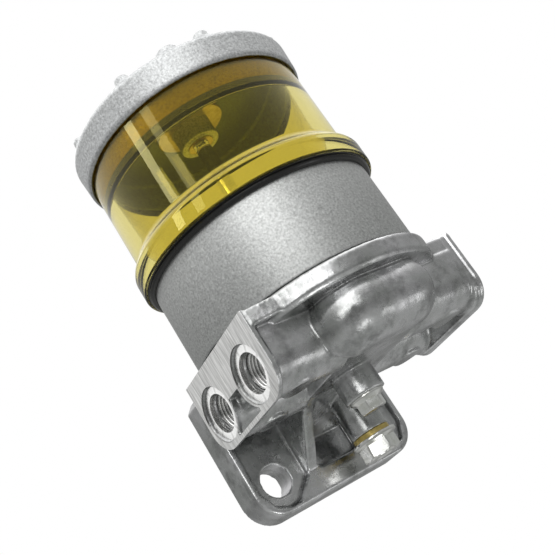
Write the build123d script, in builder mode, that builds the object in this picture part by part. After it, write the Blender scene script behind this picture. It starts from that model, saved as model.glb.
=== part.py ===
"""Fuel water separator: die-cast head, silver canister, amber bowl and ribbed base cap.

Millimetres. The origin is the centre of the two bolt holes on the back face of the mounting plate.
+Z is up, the machined port face looks to +X and the wall behind the plate is at +Y.
"""

import os

from build123d import *

os.makedirs("parts", exist_ok=True)

# Canister axis and the levels of the stack, read from the mounting holes
AXIS_Y = -48.5
LEDGE_Z = -32.4
RING_LOW_Z = -39.6
NECK_GAP = 0.3
CANISTER_TOP_Z = -36.2
CANISTER_LOW_Z = -72.3
GASKET_T = 2.3
BOWL_LOW_Z = -121.9
CAP_RIM_Z = -119.9
CAP_FLOOR_Z = -122.6
CAP_BOTTOM_Z = -131.9

# Radii of the stack, all led by the canister
CANISTER_R = 44.0
CANISTER_WALL = 1.2
RING_R = CANISTER_R + 2.2
NECK_R = CANISTER_R - 2.2
LIP_BORE_R = CANISTER_R - 4.4
ELEMENT_R = CANISTER_R - 5.6
FLANGE_R = CANISTER_R + 3.3
BOWL_R = CANISTER_R - 0.5
BOWL_WALL = 2.3
BOWL_BORE_R = BOWL_R - BOWL_WALL
CAP_R = BOWL_R + 1.5
CAP_FLARE = 0.6
SPIGOT_R = BOWL_BORE_R - 0.3
SEAL_T = 1.6
SPIGOT_OUT_R = 9.0

# Mounting plate
PLATE_HALF_W = 37.0
PLATE_TOP_Z = 12.7
PLATE_LOW_Z = -40.2
SHOULDER_Z = PLATE_LOW_Z - 0.3
PLATE_T = 13.0
PLATE_CORNER_R = 11.0
POCKET_DEPTH = 2.5
BOLT_HALF_SPACING = 24.8
BOLT_HOLE_R = 6.0

# Port block and its mirrored blank block
PORT_FACE_X = 44.6
BLANK_FACE_X = -50.1
BLOCK_Y = -49.5
PORT_HALF_PITCH = 14.55
BLOCK_FRONT_Y = -77.7
BLOCK_REAR_Y = -23.9
BLOCK_CORNER_R = 9.5
PAD_TOP_Z = -13.6
VALLEY_RISE = 5.0
PAD_R = 5.6
PORT_Z = -24.15
LOBE_R = 10.6
LOBE_SHIFT = 1.2
LIP_R = 11.9
LIP_T = 2.4
PORT_THREAD_R = 6.35
PORT_THREAD_LEN = 14.0
COUNTERBORE_R = 6.8
COUNTERBORE_DEPTH = 2.4
SPOTFACE_R = 9.8
SPOTFACE_DEPTH = 1.2
PASSAGE_R = 4.5

# Bosses on top of the head
PLATFORM_Z = -14.7
VENT_BOSS_R = 7.6
VENT_BOSS_TOP_Z = -5.4
PLUG_X = -9.2
PLUG_Y = -26.5
PLUG_BOSS_R = 7.3
PLUG_BOSS_TOP_Z = 3.2

# Screws
BOLT_R = 3.0
THREAD_GAP = 0.05
PLUG_THREAD_R = 5.0
DRAIN_THREAD_R = 4.0
DRAIN_ANGLE = -63.0
DRAIN_RADIUS = 27.0
RIB_DROP = 2.3
LUG_Z = CAP_BOTTOM_Z - RIB_DROP

AXIS = Axis((0, AXIS_Y, 0), (0, 0, 1))
STACK_PLANE = Plane((0, AXIS_Y, 0), x_dir=(1, 0, 0), z_dir=(0, -1, 0))


def turned(points, mode=Mode.ADD):
    """Turn a closed outline of (radius, height) points about the canister axis."""
    with BuildSketch(STACK_PLANE) as section:
        with BuildLine():
            Polyline(*points, close=True)
        make_face()
    revolve(section.sketch, axis=AXIS, mode=mode)


def upright(x, y, z_low, z_high, r, mode=Mode.ADD):
    """A vertical cylinder between two heights."""
    with BuildSketch(Plane.XY.offset(z_low)) as section:
        with Locations((x, y)):
            Circle(r)
    extrude(section.sketch, amount=z_high - z_low, mode=mode)


def crosswise(y, z, x_low, x_high, r, mode=Mode.ADD):
    """A cylinder along X between two stations."""
    with BuildSketch(Plane.YZ.offset(x_low)) as section:
        with Locations((y, z)):
            Circle(r)
    extrude(section.sketch, amount=x_high - x_low, mode=mode)


def block(x0, x1, y0, y1, z0, z1, mode=Mode.ADD):
    """A plain box given by its limits."""
    with BuildSketch(Plane.XY.offset(z0)) as section:
        with Locations(((x0 + x1) / 2, (y0 + y1) / 2)):
            Rectangle(x1 - x0, y1 - y0)
    extrude(section.sketch, amount=z1 - z0, mode=mode)


def end_outline(x_low, x_high, top_z, inset):
    """The flat-topped outline of a port end with its two round corners, extruded along X."""
    front = BLOCK_FRONT_Y + inset
    rear = BLOCK_REAR_Y - inset
    corner = BLOCK_CORNER_R
    with BuildSketch(Plane.YZ.offset(x_low)) as section:
        with BuildLine():
            Line((front, RING_LOW_Z), (front, top_z - corner))
            RadiusArc((front, top_z - corner), (front + corner, top_z), corner)
            Line((front + corner, top_z), (rear - corner, top_z))
            RadiusArc((rear - corner, top_z), (rear, top_z - corner), corner)
            Line((rear, top_z - corner), (rear, RING_LOW_Z))
            Line((rear, RING_LOW_Z), (front, RING_LOW_Z))
        make_face()
    extrude(section.sketch, amount=x_high - x_low)


def lobes(x_low, x_high):
    """Two half-round lobes side by side on a common base, extruded along X."""
    base = PORT_Z - LEDGE_Z + 1.0
    front = BLOCK_Y - PORT_HALF_PITCH - LOBE_SHIFT
    rear = BLOCK_Y + PORT_HALF_PITCH
    middle = (front + rear) / 2
    with BuildSketch(Plane.YZ.offset(x_low)) as section:
        with Locations((middle, PORT_Z - base / 2)):
            Rectangle(rear - front + 2 * LOBE_R, base)
        with Locations((middle, PORT_Z + VALLEY_RISE / 2)):
            Rectangle(rear - front, VALLEY_RISE)
        with Locations((front, PORT_Z), (rear, PORT_Z)):
            Circle(LOBE_R)
    extrude(section.sketch, amount=x_high - x_low)


# Mounting plate: a thick plate with a rim, two deep pockets around the bolt holes and one between
with BuildPart() as plate:
    with BuildSketch(Plane.XZ):
        with BuildLine():
            Polyline(
                (-PLATE_HALF_W, PLATE_TOP_Z - PLATE_CORNER_R),
                (-PLATE_HALF_W, PLATE_LOW_Z + 3.0),
                (-PLATE_HALF_W + 3.0, PLATE_LOW_Z),
                (PLATE_HALF_W - 3.0, PLATE_LOW_Z),
                (PLATE_HALF_W, PLATE_LOW_Z + 3.0),
                (PLATE_HALF_W, PLATE_TOP_Z - PLATE_CORNER_R),
            )
            RadiusArc(
                (PLATE_HALF_W, PLATE_TOP_Z - PLATE_CORNER_R),
                (PLATE_HALF_W - PLATE_CORNER_R, PLATE_TOP_Z),
                -PLATE_CORNER_R,
            )
            Line((PLATE_HALF_W - PLATE_CORNER_R, PLATE_TOP_Z), (-PLATE_HALF_W + PLATE_CORNER_R, PLATE_TOP_Z))
            RadiusArc(
                (-PLATE_HALF_W + PLATE_CORNER_R, PLATE_TOP_Z),
                (-PLATE_HALF_W, PLATE_TOP_Z - PLATE_CORNER_R),
                -PLATE_CORNER_R,
            )
        make_face()
    extrude(amount=PLATE_T)
    fillet(plate.faces().sort_by(Axis.Y)[0].edges(), radius=1.2)
    fillet(plate.faces().sort_by(Axis.Y)[-1].edges(), radius=0.6)

# The three pockets, cut out of the plate with rounded walls
with BuildPart() as pockets:
    with BuildSketch(Plane.XZ.offset(PLATE_T - POCKET_DEPTH)):
        with BuildLine():
            Polyline(
                (13.0, LEDGE_Z + 2.0),
                (34.3, LEDGE_Z + 2.0),
                (34.3, 2.0),
                (31.0, PLATE_TOP_Z - 4.2),
                (25.4, PLATE_TOP_Z - 1.8),
                (21.6, PLATE_TOP_Z - 2.2),
                (13.0, 3.0),
                close=True,
            )
        make_face()
        mirror(about=Plane.YZ)
        with Locations((-1.45, (LEDGE_Z + 3.5) / 2)):
            Rectangle(19.9, 3.5 - LEDGE_Z)
    extrude(amount=POCKET_DEPTH + 6.0)
    fillet(pockets.edges().filter_by(Axis.Y), radius=3.0)

# Machined face with its lip
with BuildPart() as port_lip:
    end_outline(PORT_FACE_X - LIP_T, PORT_FACE_X, PORT_Z + LIP_R, 0.0)
    chamfer(port_lip.faces().sort_by(Axis.X)[0].edges(), length=0.8)

# Blank face on the other side, with a two-step lip
with BuildPart() as blank_lip:
    end_outline(BLANK_FACE_X + 2.0, BLANK_FACE_X + 4.2, PORT_Z + LIP_R, 1.9)
    end_outline(BLANK_FACE_X, BLANK_FACE_X + 2.2, PORT_Z + LIP_R + 0.7, 1.1)
    chamfer(blank_lip.faces().sort_by(Axis.X)[0].edges(), length=0.8)

# Gallery along the front: a long round bulge that turns in to the port block at its right end
GALLERY_Y = -79.0
GALLERY_Z = -24.8
GALLERY_R = 12.0
GALLERY_LEFT_X = -10.5
GALLERY_RIGHT_X = 6.0
CREASE_Y = -73.0


def gallery_section(x):
    """Round section of the gallery, cut off at the crease and just under the ledge."""
    size = 3 * GALLERY_R
    with BuildSketch(Plane.YZ.offset(x)) as section:
        with Locations((GALLERY_Y, GALLERY_Z)):
            Circle(GALLERY_R)
        with Locations((CREASE_Y - size / 2, LEDGE_Z - 0.5 + size / 2)):
            Rectangle(size, size, mode=Mode.INTERSECT)
    return section.sketch


with BuildPart() as gallery:
    extrude(gallery_section(GALLERY_LEFT_X), amount=GALLERY_RIGHT_X - GALLERY_LEFT_X)
    revolve(
        gallery_section(GALLERY_RIGHT_X),
        axis=Axis((GALLERY_RIGHT_X, CREASE_Y, 0), (0, 0, 1)),
        revolution_arc=90,
    )
    with Locations((GALLERY_LEFT_X, GALLERY_Y, GALLERY_Z)):
        Sphere(GALLERY_R)

# Head casting
with BuildPart() as head_casting:
    # Skirt ring and roof over the canister
    turned(
        [
            (0, LEDGE_Z),
            (0, RING_LOW_Z),
            (RING_R - 0.5, RING_LOW_Z),
            (RING_R, RING_LOW_Z + 0.7),
            (RING_R, LEDGE_Z - 1.4),
            (RING_R - 1.0, LEDGE_Z),
        ]
    )
    # The skirt is cut flush with the port face
    block(PORT_FACE_X, 60.0, AXIS_Y - 50.0, AXIS_Y + 50.0, RING_LOW_Z - 1.0, LEDGE_Z + 1.0, mode=Mode.SUBTRACT)

    # Mounting plate with its pockets, and the deck between plate and skirt
    add(plate.part)
    add(pockets.part, mode=Mode.SUBTRACT)
    block(-PLATE_HALF_W + 1.0, PLATE_HALF_W - 1.0, AXIS_Y + 12.0, -PLATE_T + 3.0, PLATE_LOW_Z, LEDGE_Z + 1.0)

    # Port block, blank block and gallery
    lobes(14.0, PORT_FACE_X - LIP_T + 0.5)
    add(port_lip.part)
    # Lower wall of the port block, which widens towards the skirt
    with BuildSketch(Plane.XY.offset(RING_LOW_Z + 0.4)):
        with BuildLine():
            Polyline(
                (PORT_FACE_X - 0.6, BLOCK_FRONT_Y),
                (PORT_FACE_X - 0.6, BLOCK_REAR_Y),
                (30.0, BLOCK_REAR_Y),
                (30.0, BLOCK_FRONT_Y - 3.0),
                (32.0, BLOCK_FRONT_Y - 3.6),
                close=True,
            )
        make_face()
    extrude(amount=LEDGE_Z - RING_LOW_Z - 1.6)
    lobes(BLANK_FACE_X + 3.5, -16.0)
    add(blank_lip.part)
    block(BLANK_FACE_X + 1.0, -34.0, BLOCK_FRONT_Y + 2.4, BLOCK_REAR_Y - 2.4, RING_LOW_Z, LEDGE_Z - 1.2)
    add(gallery.part)

    # Round pads on the four lobes
    for pad_x, side in ((32.0, -1), (28.5, 1), (-36.5, -1), (-36.5, 1)):
        upright(pad_x, BLOCK_Y + side * PORT_HALF_PITCH, PORT_Z + 5.0, PAD_TOP_Z, PAD_R)

    # Platform and boss for the centre bolt
    block(-17.0, 15.0, CREASE_Y - 0.5, AXIS_Y + 9.5, LEDGE_Z, PLATFORM_Z)
    upright(0, AXIS_Y, LEDGE_Z, VENT_BOSS_TOP_Z, VENT_BOSS_R)

    # Boss of the bleed plug on a sloping web that runs to the plate
    upright(PLUG_X, PLUG_Y, LEDGE_Z, PLUG_BOSS_TOP_Z, PLUG_BOSS_R)
    with BuildSketch(Plane.YZ.offset(PLUG_X - 6.5)):
        with BuildLine():
            Polyline(
                (-PLATE_T + POCKET_DEPTH, LEDGE_Z),
                (-PLATE_T + POCKET_DEPTH, -7.4),
                (-36.0, PLATFORM_Z - 1.0),
                (AXIS_Y, PLATFORM_Z - 1.0),
                (AXIS_Y, LEDGE_Z),
                close=True,
            )
        make_face()
    extrude(amount=9.0 - PLUG_X + 6.5)

    # Sloping gusset between the deck and the plate
    with BuildSketch(Plane.YZ.offset(8.5)):
        with BuildLine():
            Polyline(
                (-PLATE_T + POCKET_DEPTH, 2.9),
                (-PLATE_T, 2.9),
                (-29.3, -12.6),
                (-36.0, -16.0),
                (-36.0, LEDGE_Z),
                (-PLATE_T + POCKET_DEPTH, LEDGE_Z),
                close=True,
            )
        make_face()
    extrude(amount=4.5)

    # Everything below the roof is opened up for the canister neck
    turned(
        [
            (0, SHOULDER_Z - 6.0),
            (0, CANISTER_TOP_Z - 0.4),
            (LIP_BORE_R - 0.3, CANISTER_TOP_Z - 0.4),
            (LIP_BORE_R - 0.3, CANISTER_TOP_Z + SEAL_T),
            (NECK_R + NECK_GAP, CANISTER_TOP_Z + SEAL_T),
            (NECK_R + NECK_GAP, SHOULDER_Z - 6.0),
        ],
        mode=Mode.SUBTRACT,
    )
    # Hollow spigot that enters the filter element
    turned(
        [
            (6.6, -35.0),
            (6.6, -44.0),
            (SPIGOT_OUT_R - 0.6, -44.0),
            (SPIGOT_OUT_R, -43.4),
            (SPIGOT_OUT_R, -35.0),
        ]
    )

    # Port bores, counterbores and spotfaces
    for side in (-1, 1):
        y = BLOCK_Y + side * PORT_HALF_PITCH
        depth = SPOTFACE_DEPTH + COUNTERBORE_DEPTH + PORT_THREAD_LEN
        crosswise(y, PORT_Z, PORT_FACE_X - SPOTFACE_DEPTH, PORT_FACE_X + 1.0, SPOTFACE_R, mode=Mode.SUBTRACT)
        crosswise(
            y,
            PORT_Z,
            PORT_FACE_X - SPOTFACE_DEPTH - COUNTERBORE_DEPTH,
            PORT_FACE_X,
            COUNTERBORE_R,
            mode=Mode.SUBTRACT,
        )
        crosswise(y, PORT_Z, PORT_FACE_X - depth, PORT_FACE_X, PORT_THREAD_R, mode=Mode.SUBTRACT)
        crosswise(y, PORT_Z, -13.0, PORT_FACE_X - 10.0, PASSAGE_R, mode=Mode.SUBTRACT)
    # Recess between the two spotfaces of the port face
    with BuildSketch(Plane.YZ.offset(PORT_FACE_X - 3.0)):
        with Locations((BLOCK_Y, PORT_Z + (LIP_R - 2.0) / 2)):
            Rectangle(19.0, LIP_R - 1.0)
        with Locations((BLOCK_Y - PORT_HALF_PITCH, PORT_Z), (BLOCK_Y + PORT_HALF_PITCH, PORT_Z)):
            Circle(SPOTFACE_R + 0.7, mode=Mode.SUBTRACT)
    extrude(amount=4.0, mode=Mode.SUBTRACT)

    # Inlet drop into the canister and outlet cross passage
    upright(-8.0, BLOCK_Y - PORT_HALF_PITCH - 1.0, -38.0, PORT_Z, 4.0, mode=Mode.SUBTRACT)
    with BuildSketch(Plane.XZ.offset(-AXIS_Y)):
        with Locations((0, PORT_Z)):
            Circle(4.0)
    extrude(amount=-(PORT_HALF_PITCH + 2.0), mode=Mode.SUBTRACT)
    upright(0, AXIS_Y, -45.0, -21.0, 6.6, mode=Mode.SUBTRACT)
    upright(0, AXIS_Y, -22.0, VENT_BOSS_TOP_Z + 1.0, BOLT_R + THREAD_GAP, mode=Mode.SUBTRACT)
    turned(
        [
            (0, VENT_BOSS_TOP_Z + 1.0),
            (0, VENT_BOSS_TOP_Z - 1.6),
            (5.5, VENT_BOSS_TOP_Z - 1.6),
            (5.5, VENT_BOSS_TOP_Z + 1.0),
        ],
        mode=Mode.SUBTRACT,
    )
    # Threaded hole of the bleed plug, open to the outlet passage
    upright(PLUG_X, PLUG_Y, -14.0, PLUG_BOSS_TOP_Z + 1.0, PLUG_THREAD_R + THREAD_GAP, mode=Mode.SUBTRACT)
    upright(PLUG_X, PLUG_Y - 3.5, PORT_Z, -13.0, 2.2, mode=Mode.SUBTRACT)

    # Mounting bolt holes
    with BuildSketch(Plane.XZ.offset(-1.0)):
        with Locations((-BOLT_HALF_SPACING, 0), (BOLT_HALF_SPACING, 0)):
            Circle(BOLT_HOLE_R)
    extrude(amount=PLATE_T + 10.0, mode=Mode.SUBTRACT)
head_casting.part.label = "head_casting"
export_step(head_casting.part, "parts/head_casting.step")

# Centre bolt: small hex flange head and a long shank down to the insert
BOLT_SEAT_Z = VENT_BOSS_TOP_Z
BOLT_END_Z = CAP_FLOOR_Z - 4.0
with BuildPart() as centre_bolt:
    turned(
        [
            (0, BOLT_END_Z),
            (BOLT_R - 0.5, BOLT_END_Z),
            (BOLT_R, BOLT_END_Z + 0.6),
            (BOLT_R, BOLT_SEAT_Z),
            (6.4, BOLT_SEAT_Z),
            (6.4, BOLT_SEAT_Z + 0.9),
            (5.0, BOLT_SEAT_Z + 1.8),
            (0, BOLT_SEAT_Z + 1.8),
        ]
    )
    with BuildSketch(Plane.XY.offset(BOLT_SEAT_Z + 1.2)):
        with Locations((0, AXIS_Y)):
            RegularPolygon(radius=4.3, side_count=6, major_radius=False, rotation=20)
    extrude(amount=4.4)
    chamfer(centre_bolt.edges().group_by(Axis.Z)[-1], length=0.35)
centre_bolt.part.label = "centre_bolt"
export_step(centre_bolt.part, "parts/centre_bolt.step")

# Seal ring in the recess under the centre bolt flange
with BuildPart() as bolt_seal:
    turned([(3.3, -7.0), (5.2, -7.0), (5.2, BOLT_SEAT_Z), (3.3, BOLT_SEAT_Z)])
bolt_seal.part.label = "bolt_seal"
export_step(bolt_seal.part, "parts/bolt_seal.step")

# Brass washer on the boss of the bleed plug
WASHER_T = 1.8
with BuildPart() as brass_washer:
    upright(PLUG_X, PLUG_Y, PLUG_BOSS_TOP_Z, PLUG_BOSS_TOP_Z + WASHER_T, 7.3)
    upright(PLUG_X, PLUG_Y, PLUG_BOSS_TOP_Z, PLUG_BOSS_TOP_Z + WASHER_T, PLUG_THREAD_R + 0.3, mode=Mode.SUBTRACT)
brass_washer.part.label = "brass_washer"
export_step(brass_washer.part, "parts/brass_washer.step")

# Bleed plug with the larger hex flange head
PLUG_SEAT_Z = PLUG_BOSS_TOP_Z + WASHER_T
with BuildPart() as bleed_plug:
    upright(PLUG_X, PLUG_Y, PLUG_SEAT_Z - 14.0, PLUG_SEAT_Z, PLUG_THREAD_R)
    upright(PLUG_X, PLUG_Y, PLUG_SEAT_Z, PLUG_SEAT_Z + 1.8, 8.8)
    with BuildSketch(Plane.XY.offset(PLUG_SEAT_Z)):
        with Locations((PLUG_X, PLUG_Y)):
            RegularPolygon(radius=6.5, side_count=6, major_radius=False, rotation=12)
    extrude(amount=7.4)
    chamfer(bleed_plug.edges().group_by(Axis.Z)[-1], length=0.5)
    chamfer(bleed_plug.edges().group_by(Axis.Z)[0], length=0.6)
bleed_plug.part.label = "bleed_plug"
export_step(bleed_plug.part, "parts/bleed_plug.step")

# Upper seal ring between head and canister
with BuildPart() as head_seal:
    turned(
        [
            (LIP_BORE_R + 0.1, CANISTER_TOP_Z),
            (NECK_R - 0.1, CANISTER_TOP_Z),
            (NECK_R - 0.1, CANISTER_TOP_Z + SEAL_T),
            (LIP_BORE_R + 0.1, CANISTER_TOP_Z + SEAL_T),
        ]
    )
head_seal.part.label = "head_seal"
export_step(head_seal.part, "parts/head_seal.step")

# Silver canister shell: narrower neck inside the head, inward lips at both ends
with BuildPart() as canister:
    inner = CANISTER_R - CANISTER_WALL
    turned(
        [
            (CANISTER_R, CANISTER_LOW_Z),
            (CANISTER_R, SHOULDER_Z),
            (NECK_R, SHOULDER_Z),
            (NECK_R, CANISTER_TOP_Z),
            (LIP_BORE_R, CANISTER_TOP_Z),
            (LIP_BORE_R, CANISTER_TOP_Z - CANISTER_WALL),
            (NECK_R - CANISTER_WALL, CANISTER_TOP_Z - CANISTER_WALL),
            (NECK_R - CANISTER_WALL, SHOULDER_Z - CANISTER_WALL),
            (inner, SHOULDER_Z - CANISTER_WALL),
            (inner, CANISTER_LOW_Z + CANISTER_WALL),
            (LIP_BORE_R, CANISTER_LOW_Z + CANISTER_WALL),
            (LIP_BORE_R, CANISTER_LOW_Z),
        ]
    )
canister.part.label = "canister"
export_step(canister.part, "parts/canister.step")

# Grommet between the spigot and the upper end disc
ELEMENT_TOP_Z = -40.4
ELEMENT_LOW_Z = -64.4
DISC_T = 1.0
GROMMET_R = 11.5
with BuildPart() as grommet:
    turned(
        [
            (SPIGOT_OUT_R + 0.05, ELEMENT_TOP_Z - 2.0),
            (GROMMET_R, ELEMENT_TOP_Z - 2.0),
            (GROMMET_R, ELEMENT_TOP_Z + 0.9),
            (SPIGOT_OUT_R + 0.05, ELEMENT_TOP_Z + 0.9),
        ]
    )
grommet.part.label = "grommet"
export_step(grommet.part, "parts/grommet.step")

# Upper end disc of the filter element
with BuildPart() as element_top:
    turned(
        [
            (GROMMET_R, ELEMENT_TOP_Z - DISC_T),
            (GROMMET_R, ELEMENT_TOP_Z),
            (ELEMENT_R, ELEMENT_TOP_Z),
            (ELEMENT_R, ELEMENT_TOP_Z - 3.0),
            (ELEMENT_R - 0.8, ELEMENT_TOP_Z - 3.0),
            (ELEMENT_R - 0.8, ELEMENT_TOP_Z - DISC_T),
        ]
    )
element_top.part.label = "element_top"
export_step(element_top.part, "parts/element_top.step")

# Lower end disc of the filter element
LOWER_GROMMET_R = 6.5
with BuildPart() as element_bottom:
    turned(
        [
            (LOWER_GROMMET_R, ELEMENT_LOW_Z),
            (ELEMENT_R, ELEMENT_LOW_Z),
            (ELEMENT_R, ELEMENT_LOW_Z + 3.0),
            (ELEMENT_R - 0.8, ELEMENT_LOW_Z + 3.0),
            (ELEMENT_R - 0.8, ELEMENT_LOW_Z + DISC_T),
            (LOWER_GROMMET_R, ELEMENT_LOW_Z + DISC_T),
        ]
    )
element_bottom.part.label = "element_bottom"
export_step(element_bottom.part, "parts/element_bottom.step")

# Lower grommet, which seals the lower end disc to the centre bolt
with BuildPart() as lower_grommet:
    turned(
        [
            (BOLT_R + 0.3, ELEMENT_LOW_Z - 0.9),
            (LOWER_GROMMET_R, ELEMENT_LOW_Z - 0.9),
            (LOWER_GROMMET_R, ELEMENT_LOW_Z + 2.0),
            (BOLT_R + 0.3, ELEMENT_LOW_Z + 2.0),
        ]
    )
lower_grommet.part.label = "lower_grommet"
export_step(lower_grommet.part, "parts/lower_grommet.step")

# Pleated paper pack
PLEATS = 44
PLEAT_LOW_Z = ELEMENT_LOW_Z + DISC_T
PLEAT_H = ELEMENT_TOP_Z - ELEMENT_LOW_Z - 2 * DISC_T
with BuildPart() as filter_pleats:
    pleat_points = []
    for index in range(PLEATS):
        for step, radius in ((0.0, ELEMENT_R - 1.2), (0.5, 15.2)):
            angle = 360.0 * (index + step) / PLEATS
            pleat_points.append((radius, angle))
    outer = []
    inner_side = []
    for radius, angle in pleat_points:
        spot = Vector(1, 0, 0).rotate(Axis.Z, angle)
        outer.append((spot.X * radius, spot.Y * radius + AXIS_Y))
        inner_side.append((spot.X * (radius - 1.6), spot.Y * (radius - 1.6) + AXIS_Y))
    with BuildSketch(Plane.XY.offset(PLEAT_LOW_Z)):
        with BuildLine():
            Polyline(*outer, close=True)
        make_face()
        with BuildLine():
            Polyline(*inner_side, close=True)
        make_face(mode=Mode.SUBTRACT)
    extrude(amount=PLEAT_H)
filter_pleats.part.label = "filter_pleats"
export_step(filter_pleats.part, "parts/filter_pleats.step")

# Slotted core tube inside the pleats
CORE_R = 12.6
with BuildPart() as core_tube:
    upright(0, AXIS_Y, PLEAT_LOW_Z, PLEAT_LOW_Z + PLEAT_H, CORE_R)
    upright(0, AXIS_Y, PLEAT_LOW_Z, PLEAT_LOW_Z + PLEAT_H, CORE_R - 0.8, mode=Mode.SUBTRACT)
    for turn in range(4):
        with BuildSketch(Plane((0, AXIS_Y, 0), z_dir=Vector(1, 0, 0).rotate(Axis.Z, 45.0 * turn))):
            with Locations((0, PLEAT_LOW_Z + PLEAT_H / 2)):
                Rectangle(2.6, PLEAT_H - 5.0)
        extrude(amount=CORE_R + 1.0, both=True, mode=Mode.SUBTRACT)
core_tube.part.label = "core_tube"
export_step(core_tube.part, "parts/core_tube.step")

# Deflector: a sheet cone on the lower lip of the canister, with its hub under the element
DEFLECTOR_Z = CANISTER_LOW_Z + CANISTER_WALL
with BuildPart() as deflector:
    turned(
        [
            (LOWER_GROMMET_R + 0.5, ELEMENT_LOW_Z),
            (LOWER_GROMMET_R + 0.5, ELEMENT_LOW_Z - 2.4),
            (LIP_BORE_R - 5.6, DEFLECTOR_Z),
            (CANISTER_R - CANISTER_WALL - 0.6, DEFLECTOR_Z),
            (CANISTER_R - CANISTER_WALL - 0.6, DEFLECTOR_Z + 1.0),
            (LIP_BORE_R - 5.6, DEFLECTOR_Z + 1.0),
            (LOWER_GROMMET_R + 2.0, ELEMENT_LOW_Z - 1.2),
            (LOWER_GROMMET_R + 2.0, ELEMENT_LOW_Z),
        ]
    )
    # Slots near the rim let the water fall into the bowl
    with BuildSketch(Plane.XY.offset(DEFLECTOR_Z - 1.0)):
        with Locations((0, AXIS_Y)):
            with PolarLocations(LIP_BORE_R - 3.0, 6, start_angle=30.0):
                Rectangle(3.6, 12.0)
    extrude(amount=3.0, mode=Mode.SUBTRACT)
deflector.part.label = "deflector"
export_step(deflector.part, "parts/deflector.step")

# Black gasket between canister and bowl
GASKET_LOW_Z = CANISTER_LOW_Z - GASKET_T
with BuildPart() as bowl_gasket:
    turned(
        [
            (LIP_BORE_R + 0.2, GASKET_LOW_Z),
            (FLANGE_R - 1.1, GASKET_LOW_Z),
            (FLANGE_R - 1.1, CANISTER_LOW_Z - 0.9),
            (CANISTER_R + 0.6, CANISTER_LOW_Z),
            (LIP_BORE_R + 0.2, CANISTER_LOW_Z),
        ]
    )
bowl_gasket.part.label = "bowl_gasket"
export_step(bowl_gasket.part, "parts/bowl_gasket.step")

# Amber bowl with its stepped flange
FLANGE_LOW_Z = GASKET_LOW_Z - 6.2
with BuildPart() as bowl:
    turned(
        [
            (LIP_BORE_R + 0.2, GASKET_LOW_Z),
            (FLANGE_R - 0.9, GASKET_LOW_Z),
            (FLANGE_R - 0.9, CANISTER_LOW_Z - 1.1),
            (FLANGE_R, CANISTER_LOW_Z - 1.5),
            (FLANGE_R, FLANGE_LOW_Z),
            (FLANGE_R - 0.9, FLANGE_LOW_Z - 1.7),
            (BOWL_R + 1.1, FLANGE_LOW_Z - 2.8),
            (BOWL_R, FLANGE_LOW_Z - 4.4),
            (BOWL_R, BOWL_LOW_Z),
            (BOWL_BORE_R, BOWL_LOW_Z),
            (BOWL_BORE_R, FLANGE_LOW_Z - 3.2),
            (LIP_BORE_R + 0.2, FLANGE_LOW_Z - 0.2),
        ]
    )
bowl.part.label = "bowl"
export_step(bowl.part, "parts/bowl.step")

# Seal ring on the end of the base cap spigot
SPIGOT_TOP_Z = BOWL_LOW_Z + 9.7
BOWL_SEAL_T = 2.0
BOWL_SEAL_W = 3.7
SPIGOT_WALL = 4.3
with BuildPart() as bowl_seal:
    turned(
        [
            (SPIGOT_R - BOWL_SEAL_W, SPIGOT_TOP_Z),
            (BOWL_BORE_R - 0.05, SPIGOT_TOP_Z),
            (BOWL_BORE_R - 0.05, SPIGOT_TOP_Z + BOWL_SEAL_T),
            (SPIGOT_R - BOWL_SEAL_W, SPIGOT_TOP_Z + BOWL_SEAL_T),
        ]
    )
bowl_seal.part.label = "bowl_seal"
export_step(bowl_seal.part, "parts/bowl_seal.step")

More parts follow.
